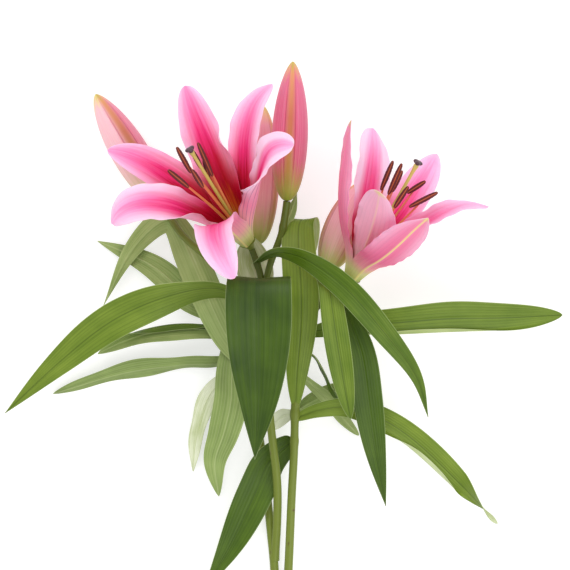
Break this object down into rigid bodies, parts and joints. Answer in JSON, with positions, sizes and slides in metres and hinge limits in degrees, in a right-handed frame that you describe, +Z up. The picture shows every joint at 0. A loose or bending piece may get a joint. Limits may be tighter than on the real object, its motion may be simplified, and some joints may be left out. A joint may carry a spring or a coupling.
{
  "type": "cut lily",
  "caption": "Cut lily lying on its side: a forked leafy stem with open pink blooms, their stamens, and closed buds.",
  "frame": {"origin": "centre of the bounding box's base, on the surface that the lily lies on", "axes": "+Y from the stem's cut end to the blooms, +Z up from the surface, +X to the right"},
  "size_m": [0.4295, 0.4813, 0.15],
  "materials": {
    "stem green": "satin plant skin",
    "leaf green": "satin leaf",
    "tepal pink": "soft petal",
    "bud pink": "soft petal",
    "style and filament": "satin plant skin",
    "anther": "dusty pollen"
  },
  "bodies": {
    "root": {"anther_left_1": "anther", "anther_left_2": "anther", "anther_left_3": "anther", "anther_left_4": "anther", "anther_left_5": "anther", "anther_left_6": "anther", "anther_right_1": "anther", "anther_right_2": "anther", "anther_right_3": "anther", "anther_right_4": "anther", "anther_right_5": "anther", "anther_right_6": "anther", "bud_behind": "bud pink", "bud_outer": "bud pink", "bud_right": "bud pink", "bud_upright": "bud pink", "heart_left": "style and filament", "heart_right": "style and filament", "leaf_arching": "leaf green", "leaf_back": "leaf green", "leaf_bract": "leaf green", "leaf_clasping": "leaf green", "leaf_cream": "leaf green", "leaf_dark": "leaf green", "leaf_drooping": "leaf green", "leaf_edge_on": "leaf green", "leaf_floor": "leaf green", "leaf_folded": "leaf green", "leaf_front": "leaf green", "leaf_grey": "leaf green", "leaf_hanging": "leaf green", "leaf_low": "leaf green", "leaf_low_right": "leaf green", "leaf_narrow": "leaf green", "leaf_pale": "leaf green", "leaf_right": "leaf green", "leaf_stub": "leaf green", "leaf_sweeping": "leaf green", "leaf_under": "leaf green", "stem": "stem green", "tepal_left_back": "tepal pink", "tepal_left_front": "tepal pink", "tepal_left_low": "tepal pink", "tepal_left_right": "tepal pink", "tepal_left_side": "tepal pink", "tepal_left_top": "tepal pink", "tepal_right_back": "tepal pink", "tepal_right_front": "tepal pink", "tepal_right_near": "tepal pink", "tepal_right_right": "tepal pink", "tepal_right_side": "tepal pink", "tepal_right_top": "tepal pink"}
  },
  "joints": []
}
